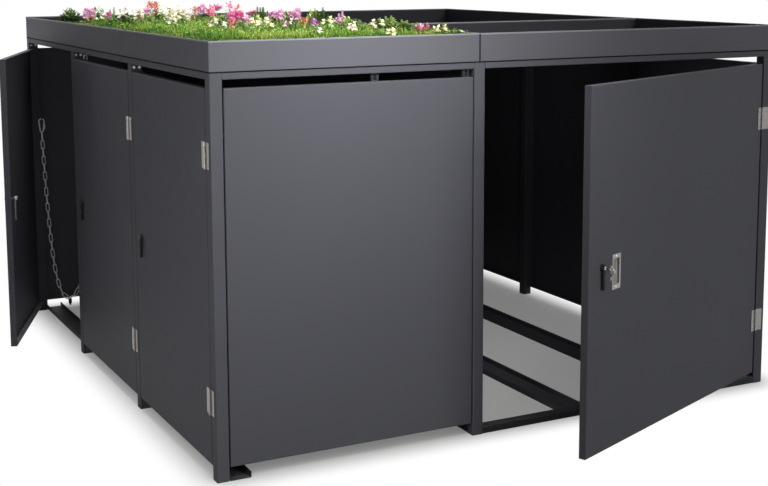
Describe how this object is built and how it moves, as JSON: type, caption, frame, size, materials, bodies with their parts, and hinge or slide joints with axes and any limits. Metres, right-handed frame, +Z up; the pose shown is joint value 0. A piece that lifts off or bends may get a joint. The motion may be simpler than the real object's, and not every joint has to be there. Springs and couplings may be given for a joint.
{
  "type": "bicycle and bin locker",
  "caption": "Free-standing steel locker with a bicycle bay and a row of bin bays behind hinged lockable doors, under a roof of trays that carry planting.",
  "frame": {"origin": "centre of the underside of the front left post's foot, on the ground", "axes": "+X along the front to the right, +Y to the back along the bays, +Z up"},
  "size_m": [2.4339, 2.8482, 1.4107],
  "materials": {
    "anthracite_paint": "fine satin powder coat, anthracite grey",
    "dark_frame_paint": "satin powder coat, dark anthracite",
    "stainless_steel": "brushed",
    "zinc_plated_steel": "bright zinc plate",
    "black_lock_casting": "satin black coated casting",
    "planting": "living turf and low flowers on a substrate mat"
  },
  "bodies": {
    "frame": {"back_panel_left": "anthracite_paint", "back_panel_right": "anthracite_paint", "base_channel_left": "dark_frame_paint", "base_rail_middle": "dark_frame_paint", "bike_door_hinge_lower": "stainless_steel", "bike_door_hinge_upper": "stainless_steel", "bin_chain": "zinc_plated_steel", "bin_door_1_hinge_lower": "stainless_steel", "bin_door_1_hinge_upper": "stainless_steel", "bin_door_2_hinge_lower": "stainless_steel", "bin_door_2_hinge_upper": "stainless_steel", "bin_door_3_hinge_lower": "stainless_steel", "bin_door_3_hinge_upper": "stainless_steel", "front_panel": "anthracite_paint", "partition_panel": "anthracite_paint", "post_back_left": "anthracite_paint", "post_back_middle": "anthracite_paint", "post_back_right": "anthracite_paint", "post_front_left": "anthracite_paint", "post_front_middle": "anthracite_paint", "post_front_right": "anthracite_paint", "post_left_1": "anthracite_paint", "post_left_2": "anthracite_paint", "post_right_1": "anthracite_paint", "post_right_2": "anthracite_paint", "roof_bearer_left_1": "dark_frame_paint", "roof_bearer_left_2": "dark_frame_paint", "roof_bearer_right": "dark_frame_paint", "roof_planting": "planting", "roof_tray_back_right": "anthracite_paint", "roof_tray_front_right": "anthracite_paint", "roof_tray_left": "anthracite_paint", "side_panel_1": "anthracite_paint", "side_panel_2": "anthracite_paint", "side_panel_3": "anthracite_paint", "threshold_rail": "dark_frame_paint", "top_rail_back_left": "anthracite_paint", "top_rail_back_right": "anthracite_paint", "top_rail_front_left": "anthracite_paint", "top_rail_front_right": "anthracite_paint", "top_rail_left": "anthracite_paint", "top_rail_middle": "anthracite_paint", "top_rail_right": "anthracite_paint", "wheel_channel_1": "dark_frame_paint", "wheel_channel_2": "dark_frame_paint"},
    "bike_door": {"bike_door": "anthracite_paint", "bike_door_pull": "stainless_steel"},
    "bike_door_lock": {"bike_door_handle": "black_lock_casting", "bike_door_cam": "zinc_plated_steel"},
    "bike_door_key": {"bike_door_key": "zinc_plated_steel"},
    "bin_door_1": {"bin_door_1": "anthracite_paint"},
    "bin_door_1_lock": {"bin_door_1_handle": "black_lock_casting", "bin_door_1_cam": "zinc_plated_steel"},
    "bin_door_2": {"bin_door_2": "anthracite_paint"},
    "bin_door_2_lock": {"bin_door_2_handle": "black_lock_casting", "bin_door_2_cam": "zinc_plated_steel"},
    "bin_door_3": {"bin_door_3": "anthracite_paint"},
    "bin_door_3_lock": {"bin_door_3_handle": "black_lock_casting", "bin_door_3_cam": "zinc_plated_steel"}
  },
  "joints": [
    {"name": "bike_door_swing", "type": "hinge", "parent": "frame", "child": "bike_door", "pos_m": [2.103, -0.0243, 0.6225], "axis": [0, 0, 1], "range_deg": [-22.6, 87.4]},
    {"name": "bike_door_lever_turn", "type": "hinge", "parent": "bike_door", "child": "bike_door_lock", "pos_m": [1.08224, -0.44487, 0.636], "axis": [-0.3843, 0.9232, 0], "range_deg": [0, 90]},
    {"name": "bike_door_key_turn", "type": "hinge", "parent": "bike_door_lock", "child": "bike_door_key", "pos_m": [1.08224, -0.44487, 0.636], "axis": [-0.3843, 0.9232, 0], "range_deg": [0, 90]},
    {"name": "bin_door_1_swing", "type": "hinge", "parent": "frame", "child": "bin_door_1", "pos_m": [-0.0243, 0.022, 0.6225], "axis": [0, 0, 1], "range_deg": [0, 110]},
    {"name": "bin_door_1_lever_turn", "type": "hinge", "parent": "bin_door_1", "child": "bin_door_1_lock", "pos_m": [-0.0203, 0.683, 0.636], "axis": [1, 0, 0], "range_deg": [0, 90]},
    {"name": "bin_door_2_swing", "type": "hinge", "parent": "frame", "child": "bin_door_2", "pos_m": [-0.0243, 0.804, 0.6225], "axis": [0, 0, 1], "range_deg": [0, 110]},
    {"name": "bin_door_2_lever_turn", "type": "hinge", "parent": "bin_door_2", "child": "bin_door_2_lock", "pos_m": [-0.0203, 1.465, 0.636], "axis": [1, 0, 0], "range_deg": [0, 90]},
    {"name": "bin_door_3_swing", "type": "hinge", "parent": "frame", "child": "bin_door_3", "pos_m": [-0.0243, 2.324, 0.6225], "axis": [0, 0, -1], "range_deg": [-21.5, 88.5]},
    {"name": "bin_door_3_lever_turn", "type": "hinge", "parent": "bin_door_3", "child": "bin_door_3_lock", "pos_m": [-0.26284, 1.70753, 0.636], "axis": [-0.9304, 0.3665, 0], "range_deg": [0, 90]}
  ]
}
